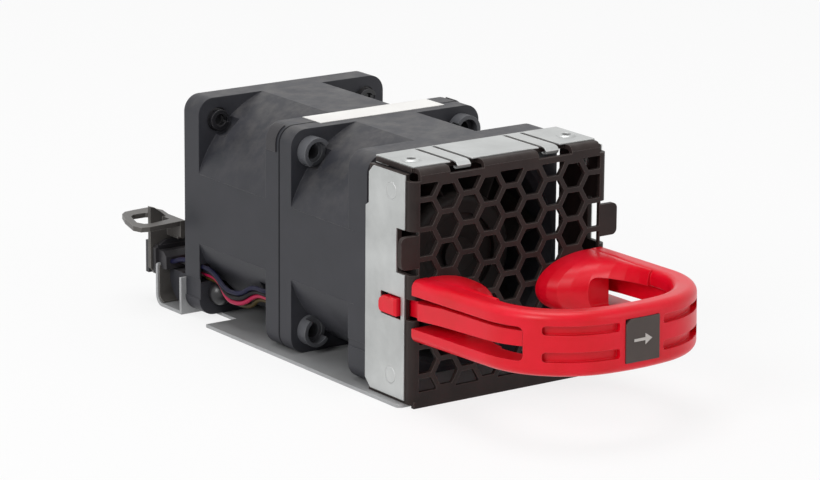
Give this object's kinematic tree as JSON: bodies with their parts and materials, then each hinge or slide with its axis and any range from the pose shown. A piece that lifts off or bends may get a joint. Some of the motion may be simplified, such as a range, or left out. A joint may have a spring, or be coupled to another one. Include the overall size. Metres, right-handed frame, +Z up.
{
  "type": "fan module",
  "caption": "Hot-swap server cooling module: axial fans in line on a steel tray, behind a honeycomb front with a looped pull handle, side latches and a rear connector.",
  "frame": {"origin": "on the fan axis, in the outer plane of the perforated front face", "axes": "+X to the right seen from the front, +Y from the front face to the rear, +Z up"},
  "size_m": [0.0495, 0.1242, 0.0413],
  "materials": {
    "frame_plastic": "moulded, fine matt texture",
    "impeller_plastic": "moulded, satin",
    "yoke_steel": "pressed sheet",
    "magnet": "sintered",
    "shaft_steel": "ground",
    "spring_steel": "satin spring sheet",
    "copper_wire": "enamelled wire",
    "board_green": "solder mask",
    "chip_black": "moulded",
    "contact_brass": "plated",
    "rivet_plastic": "moulded nylon",
    "rivet_black": "moulded nylon",
    "label_white": "blank printed film",
    "cage_black": "black plated and matt",
    "tray_zinc": "matt grey coated sheet",
    "rivet_steel": "satin",
    "connector_nylon": "moulded nylon",
    "lead_red": "extruded insulation",
    "lead_black": "extruded insulation",
    "lead_blue": "extruded insulation",
    "lead_yellow": "extruded insulation",
    "red_plastic": "moulded, soft gloss",
    "badge_grey": "moulded, fine grain"
  },
  "bodies": {
    "chassis": {"front_fan_frame": "frame_plastic", "front_bearing_outers": "shaft_steel", "front_bearing_spacer": "contact_brass", "front_stator_core": "yoke_steel", "front_coils": "copper_wire", "front_board": "board_green", "front_board_parts": "chip_black", "rear_fan_frame": "frame_plastic", "rear_bearing_outers": "shaft_steel", "rear_bearing_spacer": "contact_brass", "rear_stator_core": "yoke_steel", "rear_coils": "copper_wire", "rear_board": "board_green", "rear_board_parts": "chip_black", "board_link_pins": "contact_brass", "joint_rivets": "rivet_plastic", "holding_rivets": "rivet_black", "top_label": "label_white", "front_cage": "cage_black", "top_spring_plate": "spring_steel", "left_spring_plate": "spring_steel", "right_spring_plate": "spring_steel", "base_tray": "tray_zinc", "plate_rivets": "rivet_steel", "connector_plate": "tray_zinc", "plate_foot_rivets": "rivet_steel", "connector_body": "connector_nylon", "connector_contacts": "contact_brass", "lead_red": "lead_red", "lead_black": "lead_black", "lead_blue": "lead_blue", "lead_yellow": "lead_yellow", "handle": "red_plastic", "badge": "badge_grey", "handle_screws": "rivet_steel"},
    "front_rotor": {"front_impeller": "impeller_plastic", "front_yoke": "yoke_steel", "front_magnet": "magnet", "front_shaft": "shaft_steel", "front_shaft_clip": "spring_steel", "front_bearing_inners": "shaft_steel", "front_preload_washer": "spring_steel"},
    "rear_rotor": {"rear_impeller": "impeller_plastic", "rear_yoke": "yoke_steel", "rear_magnet": "magnet", "rear_shaft": "shaft_steel", "rear_shaft_clip": "spring_steel", "rear_bearing_inners": "shaft_steel", "rear_preload_washer": "spring_steel"},
    "left_latch": {"left_latch_strip": "red_plastic"},
    "right_latch": {"right_latch_strip": "red_plastic"}
  },
  "joints": [
    {"name": "front_rotor_spin", "type": "hinge", "parent": "chassis", "child": "front_rotor", "pos_m": [0, 0.02, 0], "axis": [0, 1, 0], "continuous": true},
    {"name": "rear_rotor_spin", "type": "hinge", "parent": "chassis", "child": "rear_rotor", "pos_m": [0, 0.06, 0], "axis": [0, 1, 0], "continuous": true},
    {"name": "left_latch_flex", "type": "hinge", "parent": "chassis", "child": "left_latch", "pos_m": [-0.0166, -0.02698, -0.00224], "axis": [0, -0.0209, -0.9998], "range_deg": [0, 3.5], "stiffness_Nm_per_rad": 0.4},
    {"name": "right_latch_flex", "type": "hinge", "parent": "chassis", "child": "right_latch", "pos_m": [0.0166, -0.02698, -0.00224], "axis": [0, 0.0209, 0.9998], "range_deg": [0, 3.5], "stiffness_Nm_per_rad": 0.4}
  ]
}
